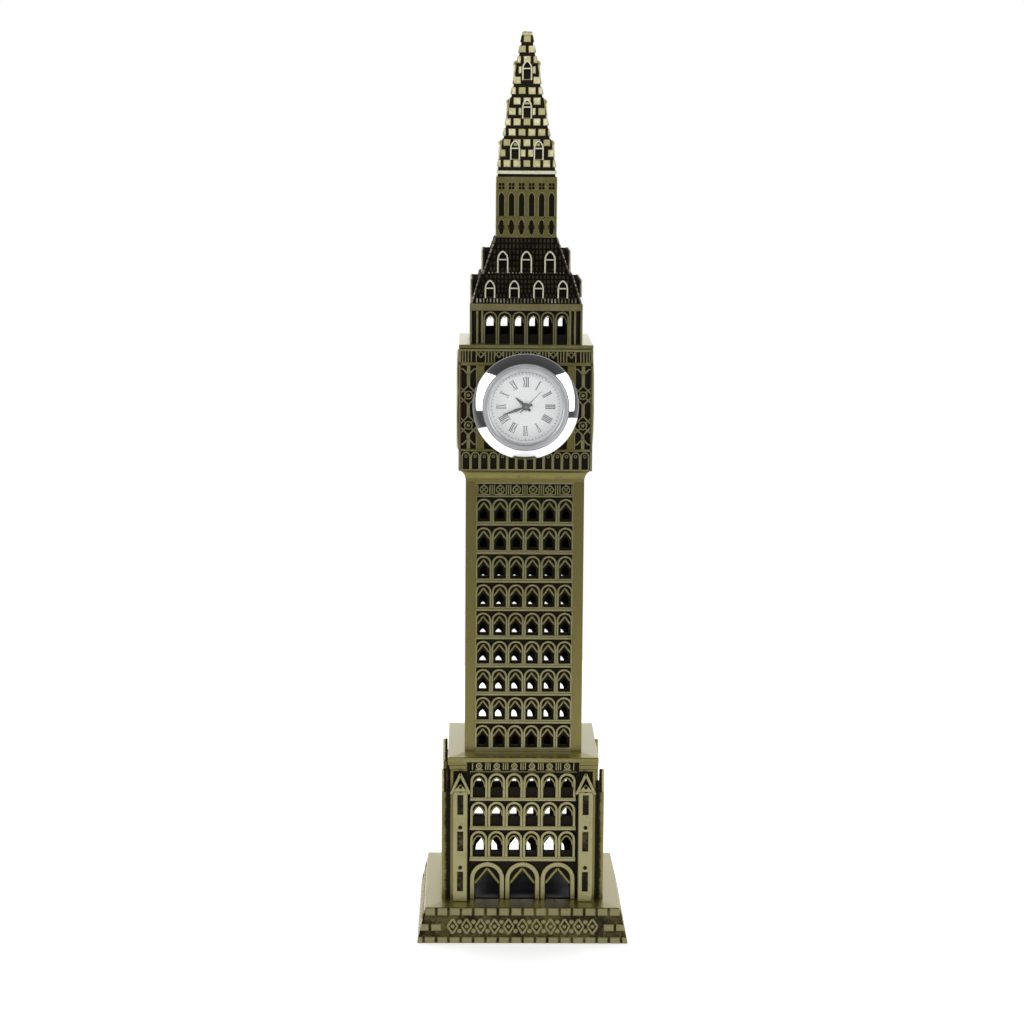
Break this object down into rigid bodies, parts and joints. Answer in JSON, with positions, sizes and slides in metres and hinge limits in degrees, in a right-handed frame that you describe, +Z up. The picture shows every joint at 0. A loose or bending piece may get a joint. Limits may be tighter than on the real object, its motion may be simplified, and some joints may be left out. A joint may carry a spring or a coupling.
{
  "type": "miniature landmark model",
  "caption": "Miniature cast-metal clock tower with arcaded walls, tiered roofs and a spire, and a push-in quartz clock in its front face.",
  "frame": {"origin": "centre of the footprint, on the surface that the tower stands on", "axes": "+Z up, the clock faces -Y, +X to the right seen from the clock side"},
  "size_m": [0.0726, 0.0726, 0.31],
  "materials": {
    "antique_brass": "antique brass plating on cast metal, dark in the recesses and rubbed bright on the edges",
    "roof_bronze": "the same plating left darker on the roofs",
    "spire_brass": "the same plating rubbed pale on the raised stones",
    "pad_foam": "fine black foam",
    "plate_steel": "satin black",
    "deck_metal": "dark plated sheet",
    "screw_steel": "zinc plated",
    "bezel_chrome": "bright chrome",
    "crystal_glass": "clear polished",
    "dial_ring_silver": "satin silver",
    "dial_white": "white with grey printed numerals",
    "case_plastic": "moulded black",
    "grip_rubber": "soft black",
    "movement_steel": "fine brushed",
    "board_green": "green solder mask",
    "battery_steel": "nickel plated",
    "coil_copper": "enamelled copper winding",
    "magnet_grey": "bonded magnet",
    "gear_brass": "fine machined",
    "hand_black": "dark lacquer"
  },
  "bodies": {
    "tower": {"base_pad": "pad_foam", "base_plate": "plate_steel", "base_screws": "screw_steel", "deck_plate": "deck_metal", "plinth_front": "antique_brass", "plinth_right": "antique_brass", "plinth_back": "antique_brass", "plinth_left": "antique_brass", "lower_wall_front": "antique_brass", "lower_wall_right": "antique_brass", "lower_wall_back": "antique_brass", "lower_wall_left": "antique_brass", "shaft_wall_front": "antique_brass", "shaft_wall_right": "antique_brass", "shaft_wall_back": "antique_brass", "shaft_wall_left": "antique_brass", "clock_wall_front": "antique_brass", "clock_wall_right": "antique_brass", "clock_wall_back": "antique_brass", "clock_wall_left": "antique_brass", "cornice_plate": "antique_brass", "belfry_wall_front": "antique_brass", "belfry_wall_right": "antique_brass", "belfry_wall_back": "antique_brass", "belfry_wall_left": "antique_brass", "lower_roof": "roof_bronze", "upper_roof": "roof_bronze", "lantern": "antique_brass", "spire": "spire_brass", "spire_cap": "spire_brass"},
    "clock_insert": {"bezel": "bezel_chrome", "crystal": "crystal_glass", "dial_ring": "dial_ring_silver", "dial": "dial_white", "insert_case": "case_plastic", "grip_ring": "grip_rubber", "rear_cover": "case_plastic", "movement_plate": "movement_steel", "movement_bridge": "movement_steel", "bridge_screws": "screw_steel", "circuit_board": "board_green", "quartz_can": "bezel_chrome", "battery": "battery_steel", "battery_spring": "gear_brass", "coil": "coil_copper", "coil_core": "movement_steel", "stator": "movement_steel"},
    "rotor": {"rotor": "magnet_grey"},
    "intermediate": {"intermediate_wheel": "gear_brass"},
    "seconds": {"second_wheel": "gear_brass", "second_hand": "hand_black"},
    "third": {"third_wheel": "gear_brass"},
    "minutes": {"centre_wheel": "gear_brass", "cannon_pinion": "gear_brass", "minute_hand": "hand_black"},
    "minute_gear": {"minute_wheel": "gear_brass"},
    "hours": {"hour_wheel": "gear_brass", "hour_hand": "hand_black"},
    "setting": {"setting_stem": "screw_steel"}
  },
  "joints": [
    {"name": "insert_slide", "type": "slide", "parent": "tower", "child": "clock_insert", "axis": [0, -1, 0], "range_m": [0, 0.03]},
    {"name": "second_spin", "type": "hinge", "parent": "clock_insert", "child": "seconds", "pos_m": [0, -0.0227, 0.1843], "axis": [0, 1, 0], "continuous": true},
    {"name": "minute_spin", "type": "hinge", "parent": "clock_insert", "child": "minutes", "pos_m": [0, -0.0227, 0.1843], "axis": [0, 1, 0], "continuous": true},
    {"name": "hour_spin", "type": "hinge", "parent": "clock_insert", "child": "hours", "pos_m": [0, -0.0227, 0.1843], "axis": [0, 1, 0], "continuous": true},
    {"name": "third_spin", "type": "hinge", "parent": "clock_insert", "child": "third", "pos_m": [0, -0.0227, 0.1894], "axis": [0, 1, 0], "continuous": true},
    {"name": "intermediate_spin", "type": "hinge", "parent": "clock_insert", "child": "intermediate", "pos_m": [-0.00477, -0.0227, 0.18256], "axis": [0, 1, 0], "continuous": true},
    {"name": "rotor_spin", "type": "hinge", "parent": "clock_insert", "child": "rotor", "pos_m": [-0.00567, -0.0227, 0.18008], "axis": [0, 1, 0], "continuous": true},
    {"name": "minute_gear_spin", "type": "hinge", "parent": "clock_insert", "child": "minute_gear", "pos_m": [0.002, -0.0227, 0.18084], "axis": [0, 1, 0], "continuous": true},
    {"name": "setting_spin", "type": "hinge", "parent": "clock_insert", "child": "setting", "pos_m": [0.006, -0.0227, 0.18084], "axis": [0, 1, 0], "continuous": true}
  ],
  "couplings": [
    {"joint": "third_spin", "follows": "second_spin", "ratio": -0.13333},
    {"joint": "minute_spin", "follows": "second_spin", "ratio": 0.016667},
    {"joint": "minute_gear_spin", "follows": "second_spin", "ratio": -0.0055556},
    {"joint": "hour_spin", "follows": "second_spin", "ratio": 0.0013889},
    {"joint": "setting_spin", "follows": "second_spin", "ratio": 0.016667},
    {"joint": "intermediate_spin", "follows": "second_spin", "ratio": -6},
    {"joint": "rotor_spin", "follows": "second_spin", "ratio": 30}
  ]
}
